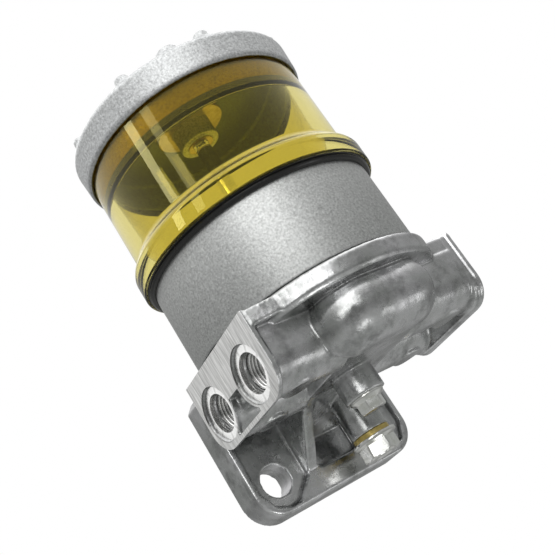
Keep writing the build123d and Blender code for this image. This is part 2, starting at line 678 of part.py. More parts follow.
# Base cap with spigot, pillar, ribs and drain boss
PILLAR_R = 7.6
PILLAR_TOP_Z = CAP_FLOOR_Z + 8.3
FLOOR_T = 4.5
RIB_ANGLES = (4.0, 49.0, 94.0, 139.0, 184.0, 230.0, 279.0, 322.0)
with BuildPart() as base_cap:
    turned(
        [
            (0, CAP_FLOOR_Z - FLOOR_T),
            (0, CAP_FLOOR_Z),
            (SPIGOT_R - SPIGOT_WALL - 0.4, CAP_FLOOR_Z),
            (SPIGOT_R - SPIGOT_WALL, SPIGOT_TOP_Z),
            (SPIGOT_R, SPIGOT_TOP_Z),
            (SPIGOT_R, BOWL_LOW_Z),
            (BOWL_R + 0.3, BOWL_LOW_Z),
            (BOWL_R + 0.3, CAP_RIM_Z),
            (CAP_R - 0.4, CAP_RIM_Z),
            (CAP_R, CAP_RIM_Z - 1.0),
            (CAP_R + CAP_FLARE, CAP_BOTTOM_Z + 1.4),
            (CAP_R + CAP_FLARE - 1.4, CAP_BOTTOM_Z),
            (CAP_R - 5.0, CAP_BOTTOM_Z),
            (CAP_R - 5.6, CAP_FLOOR_Z - FLOOR_T),
        ]
    )
    upright(0, AXIS_Y, CAP_FLOOR_Z - 1.0, PILLAR_TOP_Z, PILLAR_R)
    upright(0, AXIS_Y, CAP_BOTTOM_Z, CAP_FLOOR_Z - 1.0, 10.0)
    # Radial ribs that show as bumps past the lower edge
    with BuildSketch(Plane.XY.offset(LUG_Z)):
        for angle in RIB_ANGLES:
            with Locations(Location((0, AXIS_Y, 0), (0, 0, angle))):
                with Locations((CAP_R - 18.2, 0)):
                    SlotOverall(36.4, 5.4)
    extrude(amount=CAP_FLOOR_Z - FLOOR_T + 0.5 - LUG_Z)
    # Drain boss with its lug at the rim
    drain_x = Vector(1, 0, 0).rotate(Axis.Z, DRAIN_ANGLE).X * DRAIN_RADIUS
    drain_y = Vector(1, 0, 0).rotate(Axis.Z, DRAIN_ANGLE).Y * DRAIN_RADIUS + AXIS_Y
    upright(drain_x, drain_y, LUG_Z, CAP_FLOOR_Z - FLOOR_T + 0.5, 7.4)
    with BuildSketch(Plane.XY.offset(LUG_Z)):
        with Locations(Location((0, AXIS_Y, 0), (0, 0, DRAIN_ANGLE))):
            with Locations((CAP_R - 9.9, 0)):
                SlotOverall(18.0, 8.6)
    extrude(amount=CAP_FLOOR_Z - FLOOR_T + 0.5 - LUG_Z)
    # Blind hole for the insert and the threaded drain hole
    upright(0, AXIS_Y, CAP_FLOOR_Z - 6.0, PILLAR_TOP_Z + 1.0, 5.0, mode=Mode.SUBTRACT)
    upright(drain_x, drain_y, LUG_Z - 1.0, CAP_FLOOR_Z + 1.0, DRAIN_THREAD_R + THREAD_GAP, mode=Mode.SUBTRACT)
base_cap.part.label = "base_cap"
export_step(base_cap.part, "parts/base_cap.step")

# Threaded brass insert in the pillar
with BuildPart() as cap_insert:
    turned(
        [
            (BOLT_R + THREAD_GAP, CAP_FLOOR_Z - 6.0),
            (5.0, CAP_FLOOR_Z - 6.0),
            (5.0, PILLAR_TOP_Z),
            (BOLT_R + THREAD_GAP, PILLAR_TOP_Z),
        ]
    )
cap_insert.part.label = "cap_insert"
export_step(cap_insert.part, "parts/cap_insert.step")

# Thin washer around the foot of the pillar
with BuildPart() as pillar_washer:
    turned(
        [
            (PILLAR_R + 0.1, CAP_FLOOR_Z),
            (13.2, CAP_FLOOR_Z),
            (13.2, CAP_FLOOR_Z + 1.0),
            (PILLAR_R + 0.1, CAP_FLOOR_Z + 1.0),
        ]
    )
pillar_washer.part.label = "pillar_washer"
export_step(pillar_washer.part, "parts/pillar_washer.step")

# Seal ring of the drain plug
DRAIN_WASHER_T = 1.2
with BuildPart() as drain_washer:
    upright(drain_x, drain_y, LUG_Z - DRAIN_WASHER_T, LUG_Z, 6.6)
    upright(drain_x, drain_y, LUG_Z - DRAIN_WASHER_T, LUG_Z, DRAIN_THREAD_R + 0.3, mode=Mode.SUBTRACT)
drain_washer.part.label = "drain_washer"
export_step(drain_washer.part, "parts/drain_washer.step")

# Drain plug under the base cap
DRAIN_SEAT_Z = LUG_Z - DRAIN_WASHER_T
with BuildPart() as drain_plug:
    upright(drain_x, drain_y, DRAIN_SEAT_Z, DRAIN_SEAT_Z + 11.0, DRAIN_THREAD_R)
    upright(drain_x, drain_y, DRAIN_SEAT_Z - 1.2, DRAIN_SEAT_Z, 6.8)
    with BuildSketch(Plane.XY.offset(DRAIN_SEAT_Z - 4.6)):
        with Locations((drain_x, drain_y)):
            RegularPolygon(radius=5.0, side_count=6, major_radius=False)
    extrude(amount=4.6)
    chamfer(drain_plug.edges().group_by(Axis.Z)[0], length=0.4)
    chamfer(drain_plug.edges().group_by(Axis.Z)[-1], length=0.5)
drain_plug.part.label = "drain_plug"
export_step(drain_plug.part, "parts/drain_plug.step")
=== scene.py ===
"""Fuel water separator: die-cast head, silver canister, amber bowl and blasted base cap.

Camera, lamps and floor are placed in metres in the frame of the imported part. Sizes and places of
the pieces are written in millimetres and multiplied by MM where a mesh or a pattern is made.
"""

import math

import bmesh
import bpy
import numpy as np
from mathutils import Matrix, Vector


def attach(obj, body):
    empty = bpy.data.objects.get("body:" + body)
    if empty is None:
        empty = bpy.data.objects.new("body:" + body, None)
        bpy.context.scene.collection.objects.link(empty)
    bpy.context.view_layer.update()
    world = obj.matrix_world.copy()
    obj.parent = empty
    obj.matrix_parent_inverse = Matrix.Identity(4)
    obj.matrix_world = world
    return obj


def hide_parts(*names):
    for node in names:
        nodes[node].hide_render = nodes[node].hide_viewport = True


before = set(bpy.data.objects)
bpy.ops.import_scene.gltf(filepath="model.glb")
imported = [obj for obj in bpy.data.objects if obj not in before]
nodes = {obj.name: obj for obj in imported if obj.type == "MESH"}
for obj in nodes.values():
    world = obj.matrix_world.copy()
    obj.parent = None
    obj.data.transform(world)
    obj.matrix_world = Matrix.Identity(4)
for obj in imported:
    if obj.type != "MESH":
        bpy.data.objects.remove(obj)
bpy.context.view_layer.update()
MM = 0.001

# Camera
# It stands where the photograph was taken from: in front of the ports, a little above the head,
# and rolled so far that the base cap points to the upper left of the picture.
camera_place = Vector((0.184903, -0.289938, 0.040030))
camera_right = Vector((-0.770485, -0.368437, 0.520199))
camera_up = Vector((-0.283513, -0.532839, -0.797310))
camera_back = camera_right.cross(camera_up)
camera_data = bpy.data.cameras.new("camera")
camera_data.sensor_width = 36.0
camera_data.lens = 58.242
camera_data.clip_start = 0.01
camera = bpy.data.objects.new("camera", camera_data)
camera_turn = Matrix((camera_right, camera_up, camera_back)).transposed().to_4x4()
camera.matrix_world = Matrix.Translation(camera_place) @ camera_turn
bpy.context.scene.collection.objects.link(camera)
bpy.context.scene.camera = camera
bpy.context.scene.view_settings.view_transform = "Standard"

# Light and surroundings
# A white studio: pale floor well below the part, white backdrop, one broad softbox low on the
# left of the ports, a small one behind the head, two that only head and screws mirror, one that
# only the port end mirrors, and two tall strips that only the bowl mirrors.
WHITE = (1, 1, 1, 1)
RAY_DEPTH_BEHIND_BOWL = 6.5
FLOOR_Z = -0.6
FLOOR_HALF = 9.0
FLOOR_SHEEN_REACH = 4.0
SKY_GREYS = [
    (0.0, (0.80, 0.80, 0.80)),
    (0.36, (0.44, 0.4444, 0.44)),
    (0.45, (0.34, 0.3434, 0.34)),
    (0.56, (0.26, 0.2626, 0.26)),
    (0.68, (0.26, 0.2626, 0.26)),
    (0.82, (0.46, 0.4646, 0.46)),
    (1.0, (0.34, 0.35, 0.34)),
]
FLOOR_GREYS = [
    (0.215, (1.7, 1.7, 1.7)),
    (0.25, (0.80, 0.80, 0.80)),
    (0.36, (0.46, 0.46, 0.46)),
    (0.55, (0.36, 0.36, 0.36)),
    (1.0, (0.34, 0.35, 0.34)),
]


def put_into(tree, value, socket):
    """Gives an input socket a plain number, or links another socket to it."""
    if isinstance(value, (int, float)):
        socket.default_value = value
    else:
        tree.links.new(value, socket)


def math_step(tree, operation, *values):
    """The result of a Math node whose inputs are numbers or sockets."""
    step = tree.nodes.new("ShaderNodeMath")
    step.operation = operation
    for value, socket in zip(values, step.inputs):
        put_into(tree, value, socket)
    return step.outputs[0]


def ranged(tree, value, from_low, from_high, to_low, to_high):
    """A value socket moved from one range to another, clamped."""
    change = tree.nodes.new("ShaderNodeMapRange")
    limits = {"From Min": from_low, "From Max": from_high, "To Min": to_low, "To Max": to_high}
    for label, limit in limits.items():
        put_into(tree, limit, change.inputs[label])
    tree.links.new(value, change.inputs["Value"])
    return change.outputs[0]


def length_of(tree, vector):
    """The length of a vector socket."""
    length = tree.nodes.new("ShaderNodeVectorMath")
    length.operation = "LENGTH"
    tree.links.new(vector, length.inputs[0])
    return length.outputs["Value"]


def color_ramp(tree, factor, stops):
    """A colour read off a ramp at a factor socket, from rising stops of (position, colour)."""
    ramp = tree.nodes.new("ShaderNodeValToRGB")
    tree.links.new(factor, ramp.inputs[0])
    elements = ramp.color_ramp.elements
    elements[0].position = stops[0][0]
    elements[1].position = stops[-1][0]
    for position, color in stops[1:-1]:
        elements.new(position)
    for element, (position, color) in zip(elements, stops):
        element.color = (*color, 1)
    return ramp.outputs[0]


def mixed_shader(tree, factor, first, second):
    """One shader or the other by a factor socket."""
    mix = tree.nodes.new("ShaderNodeMixShader")
    for source, socket in zip((factor, first, second), mix.inputs):
        tree.links.new(source, socket)
    return mix.outputs[0]


def seen_white(tree, path):
    """1 for camera rays and for rays that the bowl has passed on through a few surfaces."""
    near = math_step(tree, "LESS_THAN", path.outputs["Ray Depth"], RAY_DEPTH_BEHIND_BOWL)
    through = math_step(tree, "MULTIPLY", near, path.outputs["Is Transmission Ray"])
    return math_step(tree, "MAXIMUM", path.outputs["Is Camera Ray"], through)


world = bpy.data.worlds.new("studio")
bpy.context.scene.world = world
world.use_nodes = True
sky = world.node_tree
sky.nodes.clear()
sky_out = sky.nodes.new("ShaderNodeOutputWorld")
sky_white = sky.nodes.new("ShaderNodeBackground")
sky_white.inputs["Color"].default_value = WHITE
sky_place = sky.nodes.new("ShaderNodeTexCoord")
sky_split = sky.nodes.new("ShaderNodeSeparateXYZ")
sky.links.new(sky_place.outputs["Generated"], sky_split.inputs[0])
sky_height = ranged(sky, sky_split.outputs["Z"], -1.0, 1.0, 0.0, 1.0)
sky_soft = sky.nodes.new("ShaderNodeBackground")
sky.links.new(color_ramp(sky, sky_height, SKY_GREYS), sky_soft.inputs["Color"])
sky_path = sky.nodes.new("ShaderNodeLightPath")
sky_mix = mixed_shader(sky, seen_white(sky, sky_path), sky_soft.outputs[0], sky_white.outputs[0])
sky.links.new(sky_mix, sky_out.inputs[0])


def softbox(name, place, target, width, height, watts):
    """A rectangular area lamp at a place, facing a target."""
    data = bpy.data.lights.new(name, "AREA")
    data.shape = "RECTANGLE"
    data.size = width
    data.size_y = height
    data.energy = watts
    lamp = bpy.data.objects.new(name, data)
    lamp.location = place
    lamp.rotation_euler = (Vector(target) - Vector(place)).to_track_quat("-Z", "Y").to_euler()
    bpy.context.scene.collection.objects.link(lamp)
    return lamp


key_box = softbox("softbox_key", (0.285, -0.607, -0.33), (0, -0.05, -0.05), 0.50, 0.46, 1.25)
softbox("softbox_back", (-0.44, -0.49, 0.45), (0, -0.05, -0.02), 0.2, 0.2, 0.12)
front_box = softbox("softbox_front", (0.50, -0.52, -0.10), (0, -0.05, -0.02), 0.26, 0.22, 0.30)
top_box = softbox("softbox_top", (0.131, -0.43, 0.573), (0.01, -0.08, -0.02), 0.22, 0.22, 0.32)
port_box = softbox("softbox_ports", (0.357, 0.431, -0.20), (0.045, -0.05, -0.024), 0.40, 0.40, 0.45)
strip_left = softbox("strip_left", (0.679, -0.084, -0.46), (0, -0.0485, -0.12), 0.11, 0.34, 0.9)
strip_middle = softbox("strip_middle", (0.616, -0.336, -0.46), (0, -0.0485, -0.12), 0.11, 0.34, 0.42)

floor_mesh = bpy.data.meshes.new("floor")
floor_signs = ((-1, -1), (1, -1), (1, 1), (-1, 1))
floor_corners = [(x * FLOOR_HALF, y * FLOOR_HALF, FLOOR_Z) for x, y in floor_signs]
floor_mesh.from_pydata(floor_corners, [], [(0, 1, 2, 3)])
floor = bpy.data.objects.new("floor", floor_mesh)
bpy.context.scene.collection.objects.link(floor)
floor_paint = bpy.data.materials.new("floor_paint")
floor_paint.use_nodes = True
floor_tree = floor_paint.node_tree
floor_tree.nodes.clear()
floor_out = floor_tree.nodes.new("ShaderNodeOutputMaterial")
floor_diffuse = floor_tree.nodes.new("ShaderNodeBsdfDiffuse")
floor_diffuse.inputs["Color"].default_value = (0.85, 0.85, 0.85, 1)
floor_white = floor_tree.nodes.new("ShaderNodeEmission")
floor_white.inputs["Color"].default_value = WHITE
floor_place = floor_tree.nodes.new("ShaderNodeTexCoord")
floor_distance = length_of(floor_tree, floor_place.outputs["Object"])
floor_reach = ranged(floor_tree, floor_distance, 0.0, FLOOR_SHEEN_REACH, 0.0, 1.0)
floor_sheen = floor_tree.nodes.new("ShaderNodeEmission")
floor_tree.links.new(color_ramp(floor_tree, floor_reach, FLOOR_GREYS), floor_sheen.inputs["Color"])
floor_path = floor_tree.nodes.new("ShaderNodeLightPath")
floor_mirrored = floor_path.outputs["Is Glossy Ray"]
floor_under = mixed_shader(floor_tree, floor_mirrored, floor_diffuse.outputs[0], floor_sheen.outputs[0])
floor_seen = seen_white(floor_tree, floor_path)
floor_mix = mixed_shader(floor_tree, floor_seen, floor_under, floor_white.outputs[0])
floor_tree.links.new(floor_mix, floor_out.inputs[0])
floor_mesh.materials.append(floor_paint)

# Head casting
# One aluminium die casting, tumbled and left bare: mounting plate, port block, blank block,
# gallery and bosses. Edges are rounded by the die, with scattered bright flecks of flash.
CAST_DULL = (0.44, 0.45, 0.44)
CAST_BRIGHT = (0.72, 0.72, 0.73)
PORT_FACE_X = 44.6
PORT_Z = -24.15
PORT_YS = (-64.05, -34.95)
PORT_BORE_DEPTH = 19.0
SPOTFACE_R = 9.8
SHARP_BEHIND_FACE = 0.9
SHARP_ROUND_SPOTFACE = 0.3
SUNK_UNDER_FACES = 0.12
SMOOTH_IN = 0.5
SMOOTH_OUT = 0.47


def new_group(name, inputs, outputs):
    """An empty shader node group with named sockets; returns the tree, its input and its output."""
    tree = bpy.data.node_groups.new(name, "ShaderNodeTree")
    for label, kind, value in inputs:
        socket = tree.interface.new_socket(label, in_out="INPUT", socket_type=kind)
        socket.default_value = value
    for label, kind in outputs:
        tree.interface.new_socket(label, in_out="OUTPUT", socket_type=kind)
    return tree, tree.nodes.new("NodeGroupInput"), tree.nodes.new("NodeGroupOutput")


def noise_into(tree, vector, scale, detail, roughness):
    """A noise texture read at a vector socket, with its scale as a number or a socket."""
    noise = tree.nodes.new("ShaderNodeTexNoise")
    noise.inputs["Detail"].default_value = detail
    noise.inputs["Roughness"].default_value = roughness
    tree.links.new(vector, noise.inputs["Vector"])
    put_into(tree, scale, noise.inputs["Scale"])
    return noise


grain_tree, grain_in, grain_out = new_group(
    "metal_grain",
    [
        ("Scale", "NodeSocketFloat", 3000.0),
        ("Contrast", "NodeSocketFloat", 0.3),
        ("Vector", "NodeSocketVector", (0, 0, 0)),
    ],
    [("Tone", "NodeSocketFloat"), ("Height", "NodeSocketFloat")],
)
grain_fine = noise_into(grain_tree, grain_in.outputs["Vector"], grain_in.outputs["Scale"], 3.0, 0.7)
grain_spread = math_step(grain_tree, "SUBTRACT", grain_fine.outputs["Fac"], 0.5)
grain_tone = math_step(grain_tree, "MULTIPLY_ADD", grain_spread, grain_in.outputs["Contrast"], 1.0)
grain_tree.links.new(grain_tone, grain_out.inputs["Tone"])
grain_tree.links.new(grain_fine.outputs["Fac"], grain_out.inputs["Height"])

wear_shade_tree, wear_shade_in, wear_shade_out = new_group(
    "edge_wear_and_hollow_shade",
    [("Dark", "NodeSocketFloat", 0.5), ("Bright", "NodeSocketFloat", 1.2)],
    [("Tone", "NodeSocketFloat")],
)
# Painted shade: hollow corners, found by pointiness, darken towards Dark as if shade fell in them; raised
# edges lighten towards Bright as rubbed metal.
wear_bend = wear_shade_tree.nodes.new("ShaderNodeNewGeometry").outputs["Pointiness"]
hollow_painted_shade = ranged(wear_shade_tree, wear_bend, 0.42, 0.495, wear_shade_in.outputs["Dark"], 1.0)
wear_raised = ranged(wear_shade_tree, wear_bend, 0.505, 0.56, 1.0, wear_shade_in.outputs["Bright"])
wear_and_shade_tone = math_step(wear_shade_tree, "MULTIPLY", hollow_painted_shade, wear_raised)
wear_shade_tree.links.new(wear_and_shade_tone, wear_shade_out.inputs["Tone"])


def base_material(name, color, metallic, roughness):
    """A Principled material; returns the material, its tree, the shader and Object coordinates.

    Once a pattern is linked to the colour or the roughness, the plain value no longer counts.
    """
    material = bpy.data.materials.new(name)
    material.use_nodes = True
    tree = material.node_tree
    shader = tree.nodes["Principled BSDF"]
    shader.inputs["Base Color"].default_value = (*color, 1)
    shader.inputs["Metallic"].default_value = metallic
    shader.inputs["Roughness"].default_value = roughness
    place = tree.nodes.new("ShaderNodeTexCoord").outputs["Object"]
    return material, tree, shader, place


def mixed_color(tree, factor, low, high):
    """A colour between two colours by a factor socket."""
    mix = tree.nodes.new("ShaderNodeMix")
    mix.data_type = "RGBA"
    mix.inputs["A"].default_value = (*low, 1)
    mix.inputs["B"].default_value = (*high, 1)
    tree.links.new(factor, mix.inputs["Factor"])
    return mix.outputs["Result"]


def clouded(tree, noise, low, high, dark, light):
    """A colour that goes from dark to light as a noise goes from low to high."""
    return mixed_color(tree, ranged(tree, noise.outputs["Fac"], low, high, 0, 1), dark, light)


def scaled_color(tree, color, factor):
    """A colour socket multiplied by a value socket."""
    scale = tree.nodes.new("ShaderNodeVectorMath")
    scale.operation = "SCALE"
    tree.links.new(color, scale.inputs[0])
    tree.links.new(factor, scale.inputs["Scale"])
    return scale.outputs[0]


def bumped(tree, shader, heights):
    """Bump nodes in a row: each height socket with its strength and its distance in millimetres."""
    last = None
    for height, strength, distance in heights:
        bump = tree.nodes.new("ShaderNodeBump")
        bump.inputs["Strength"].default_value = strength
        bump.inputs["Distance"].default_value = distance * MM
        tree.links.new(height, bump.inputs["Height"])
        if last is not None:
            tree.links.new(last, bump.inputs["Normal"])
        last = bump.outputs["Normal"]
    tree.links.new(last, shader.inputs["Normal"])


def grain_node(tree, place, scale, contrast):
    """The shared metal grain with its own scale and contrast."""
    grain = tree.nodes.new("ShaderNodeGroup")
    grain.node_tree = grain_tree
    grain.inputs["Scale"].default_value = scale
    grain.inputs["Contrast"].default_value = contrast
    tree.links.new(place, grain.inputs["Vector"])
    return grain


def worn_and_shaded(tree, color, dark, bright):
    """A colour with painted shade in its hollow corners, and lighter on raised edges that handling has
    rubbed bright.
    """
    wear_shade_node = tree.nodes.new("ShaderNodeGroup")
    wear_shade_node.node_tree = wear_shade_tree
    wear_shade_node.inputs["Dark"].default_value = dark
    wear_shade_node.inputs["Bright"].default_value = bright
    return scaled_color(tree, color, wear_shade_node.outputs["Tone"])


cast_metal, cast_tree, cast_shader, cast_place = base_material("cast_metal", (0.42, 0.43, 0.43), 1.0, 0.3)
cast_clouds = noise_into(cast_tree, cast_place, 60.0, 4.0, 0.6)
cast_tint = clouded(cast_tree, cast_clouds, 0.35, 0.65, CAST_DULL, CAST_BRIGHT)
cast_grain = grain_node(cast_tree, cast_place, 1800.0, 0.25)
cast_toned = scaled_color(cast_tree, cast_tint, cast_grain.outputs["Tone"])
cast_flow = noise_into(cast_tree, cast_place, 95.0, 7.0, 0.72)
cast_stain = ranged(cast_tree, cast_flow.outputs["Fac"], 0.36, 0.50, 0.62, 1.0)
cast_stained = scaled_color(cast_tree, cast_toned, cast_stain)
# The cast colour gets painted shade in its hollows, down to 0.25, and raised edges rubbed lighter.
cast_tree.links.new(worn_and_shaded(cast_tree, cast_stained, 0.25, 1.35), cast_shader.inputs["Base Color"])
cast_patches = noise_into(cast_tree, cast_place, 140.0, 3.0, 0.6)
cast_gloss = ranged(cast_tree, cast_patches.outputs["Fac"], 0.35, 0.68, 0.20, 0.36)
cast_tree.links.new(cast_gloss, cast_shader.inputs["Roughness"])
cast_waves = noise_into(cast_tree, cast_place, 260.0, 2.0, 0.5)
cast_dents = noise_into(cast_tree, cast_place, 900.0, 3.0, 0.65)
cast_flecks = cast_tree.nodes.new("ShaderNodeTexVoronoi")
cast_flecks.inputs["Scale"].default_value = 420.0
cast_tree.links.new(cast_place, cast_flecks.inputs["Vector"])
cast_fleck = ranged(cast_tree, cast_flecks.outputs["Distance"], 0.0, 0.16, 1.0, 0.0)
bumped(
    cast_tree,
    cast_shader,
    [
        (cast_waves.outputs["Fac"], 0.35, 0.5),
        (cast_dents.outputs["Fac"], 0.14, 0.12),
        (cast_fleck, 0.25, 0.15),
        (cast_grain.outputs["Height"], 0.10, 0.04),
    ],
)


def link_mesh(name, mesh, material, body):
    """Puts a finished mesh in the scene as a piece of the object."""
    piece = bpy.data.objects.new(name, mesh)
    bpy.context.scene.collection.objects.link(piece)
    mesh.materials.clear()
    mesh.materials.append(material)
    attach(piece, body)
    return piece


def rows_of(items, value):
    """One row of three numbers, such as co or normal, for each vertex or face of a mesh."""
    rows = np.empty(len(items) * 3)
    items.foreach_get(value, rows)
    return rows.reshape(-1, 3)


def softened(node, voxel, rounds, faces, held):
    """A copy of a CAD node with its edges rounded off.

    The copy is remeshed to cubes of the voxel size in millimetres. In each round every vertex moves
    part of the way to the mean of its neighbours, or in every second round nearly as far back from
    it, which rounds edges and keeps the size. Vertices stay where held(points) is 1. The result is
    thinned to about the wanted number of faces.
    """
    source = nodes[node].data.copy()
    shape = bmesh.new()
    shape.from_mesh(source)
    bmesh.ops.remove_doubles(shape, verts=shape.verts, dist=1e-6)
    shape.to_mesh(source)
    shape.free()
    holder = bpy.data.objects.new("holder", source)
    bpy.context.scene.collection.objects.link(holder)
    cubes = holder.modifiers.new("cubes", "REMESH")
    cubes.mode = "VOXEL"
    cubes.voxel_size = voxel * MM
    graph = bpy.context.evaluated_depsgraph_get()
    mesh = bpy.data.meshes.new_from_object(holder.evaluated_get(graph))
    points = rows_of(mesh.vertices, "co")
    count = len(points)
    edges = np.empty(len(mesh.edges) * 2, int)
    mesh.edges.foreach_get("vertices", edges)
    ends = edges.reshape(-1, 2)
    near = np.bincount(edges, minlength=count)[:, None]
    free = 1.0 - held(points / MM)[:, None]
    for index in range(rounds):
        total = np.zeros_like(points)
        for axis in range(3):
            total[:, axis] = np.bincount(ends[:, 0], points[ends[:, 1], axis], count)
            total[:, axis] += np.bincount(ends[:, 1], points[ends[:, 0], axis], count)
        step = SMOOTH_IN if index % 2 == 0 else -SMOOTH_OUT
        points = points + step * free * (total / near - points)
    mesh.vertices.foreach_set("co", points.ravel())
    holder.modifiers.clear()
    holder.data = mesh
    thin = holder.modifiers.new("thin", "DECIMATE")
    thin.ratio = min(1.0, faces / (2.0 * len(mesh.polygons)))
    graph = bpy.context.evaluated_depsgraph_get()
    result = bpy.data.meshes.new_from_object(holder.evaluated_get(graph))
    bpy.data.objects.remove(holder)
    result.polygons.foreach_set("use_smooth", np.ones(len(result.polygons), bool))
    return result


def near_ports(points):
    """1 in the machined port face and round the port bores, 0 elsewhere."""
    mask = points[:, 0] > PORT_FACE_X - SHARP_BEHIND_FACE
    for y in PORT_YS:
        reach = np.hypot(points[:, 1] - y, points[:, 2] - PORT_Z)
        round_bore = reach < SPOTFACE_R + SHARP_ROUND_SPOTFACE
        mask |= round_bore & (points[:, 0] > PORT_FACE_X - PORT_BORE_DEPTH)
    return mask.astype(float)


head_mesh = softened("head_casting", 0.55, 8, 190000, near_ports)
head_points = rows_of(head_mesh.vertices, "co")
head_sunk = near_ports(head_points / MM)[:, None] * SUNK_UNDER_FACES * MM
head_points -= rows_of(head_mesh.vertices, "normal") * head_sunk
head_mesh.vertices.foreach_set("co", head_points.ravel())
head_body = link_mesh("head_body", head_mesh, cast_metal, "housing")
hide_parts("head_casting")

# Machined port faces
# The port end is milled flat with a coarse cutter whose strokes run up and down, and each port has
# a turned spotface, a counterbore and a half-inch fine thread.
MILLED_DARK = (0.26, 0.26, 0.255)
MILLED_BRIGHT = (0.66, 0.66, 0.65)
MILLED_TILT = math.radians(6)
MILLED_STRETCH = 0.05
TURNED_DARK = (0.72, 0.72, 0.71)
TURNED_BRIGHT = (0.96, 0.96, 0.95)
FACE_SLACK = 0.02
THREAD_START_X = 41.0
SEATS_END_X = 38.0
PORT_THREAD_R = 6.35
PORT_THREAD_LENGTH = 14.0
PORT_THREAD_PITCH = 1.27
PORT_THREAD_DEPTH = 0.75
PORT_THREAD_SIDES = 64
ROWS_IN_PITCH = 8
FLANK_STEEPNESS = 1.25
FLANK_SHIFT = 0.1

milled_metal, milled_tree, milled_shader, milled_place = base_material(
    "milled_metal", MILLED_BRIGHT, 1.0, 0.34
)
milled_map = milled_tree.nodes.new("ShaderNodeMapping")
milled_map.inputs["Scale"].default_value = (1.0, 1.0, MILLED_STRETCH)
milled_map.inputs["Rotation"].default_value = (MILLED_TILT, 0, 0)
milled_tree.links.new(milled_place, milled_map.inputs["Vector"])
milled_lines = noise_into(milled_tree, milled_map.outputs[0], 1500.0, 3.0, 0.75)
milled_bands = noise_into(milled_tree, milled_map.outputs[0], 500.0, 2.0, 0.5)
milled_tone = clouded(milled_tree, milled_lines, 0.3, 0.7, MILLED_DARK, MILLED_BRIGHT)
milled_tree.links.new(milled_tone, milled_shader.inputs["Base Color"])
bumped(
    milled_tree,
    milled_shader,
    [(milled_lines.outputs["Fac"], 0.6, 0.08), (milled_bands.outputs["Fac"], 0.2, 0.1)],
)

# Turning marks are rings, so their pattern reads the distance from the axis of the nearer port.
turned_metal, turned_tree, turned_shader, turned_place = base_material(
    "turned_metal", (0.80, 0.80, 0.79), 1.0, 0.22
)
ports_middle_y = (PORT_YS[0] + PORT_YS[1]) / 2
ports_half_gap = (PORT_YS[1] - PORT_YS[0]) / 2
turned_split = turned_tree.nodes.new("ShaderNodeSeparateXYZ")
turned_tree.links.new(turned_place, turned_split.inputs[0])
turned_along = math_step(turned_tree, "SUBTRACT", turned_split.outputs["Y"], ports_middle_y * MM)
turned_side = math_step(turned_tree, "ABSOLUTE", turned_along)
turned_off = math_step(turned_tree, "SUBTRACT", turned_side, ports_half_gap * MM)
turned_rise = math_step(turned_tree, "SUBTRACT", turned_split.outputs["Z"], PORT_Z * MM)
turned_flat = turned_tree.nodes.new("ShaderNodeCombineXYZ")
turned_tree.links.new(turned_off, turned_flat.inputs["X"])
turned_tree.links.new(turned_rise, turned_flat.inputs["Y"])
turned_reach = turned_tree.nodes.new("ShaderNodeCombineXYZ")
turned_tree.links.new(length_of(turned_tree, turned_flat.outputs[0]), turned_reach.inputs["X"])
turned_rings = noise_into(turned_tree, turned_reach.outputs[0], 6000.0, 3.0, 0.7)
turned_tone = clouded(turned_tree, turned_rings, 0.35, 0.65, TURNED_DARK, TURNED_BRIGHT)
# Spotfaces, counterbores and threads get painted shade in their hollows, down to 0.12, and lighter raised
# edges.
turned_tree.links.new(worn_and_shaded(turned_tree, turned_tone, 0.12, 1.2), turned_shader.inputs["Base Color"])
bumped(turned_tree, turned_shader, [(turned_rings.outputs["Fac"], 0.4, 0.04)])


def cad_faces(node, name, keep):
    """A mesh of those triangles of a CAD node for which keep(centres, normals) is true."""
    source = nodes[node].data
    chosen = keep(rows_of(source.polygons, "center") / MM, rows_of(source.polygons, "normal"))
    corners = np.empty(len(source.polygons) * 3, int)
    source.polygons.foreach_get("vertices", corners)
    used, index = np.unique(corners.reshape(-1, 3)[chosen], return_inverse=True)
    points = rows_of(source.vertices, "co")[used]
    mesh = bpy.data.meshes.new(name)
    mesh.from_pydata(points.tolist(), [], index.reshape(-1, 3).tolist())
    return mesh


def on_port_face(centres, normals):
    """The milled plane itself."""
    return (centres[:, 0] > PORT_FACE_X - FACE_SLACK) & (normals[:, 0] > 0.99)


def in_port_bores(centres, normals):
    """Spotfaces and counterbores of both ports, without the thread walls."""
    mask = np.zeros(len(centres), bool)
    for y in PORT_YS:
        reach = np.hypot(centres[:, 1] - y, centres[:, 2] - PORT_Z)
        mask |= (reach < SPOTFACE_R + FACE_SLACK) & (centres[:, 0] < PORT_FACE_X - FACE_SLACK)
    wall = np.abs(normals[:, 0]) < 0.5
    thread = wall & (centres[:, 0] < THREAD_START_X - 0.1)
    return mask & (centres[:, 0] > SEATS_END_X) & ~thread


milled_mesh = cad_faces("head_casting", "port_face", on_port_face)
port_face = link_mesh("port_face", milled_mesh, milled_metal, "housing")
seats_mesh = cad_faces("head_casting", "port_seats", in_port_bores)
port_seats = link_mesh("port_seats", seats_mesh, turned_metal, "housing")


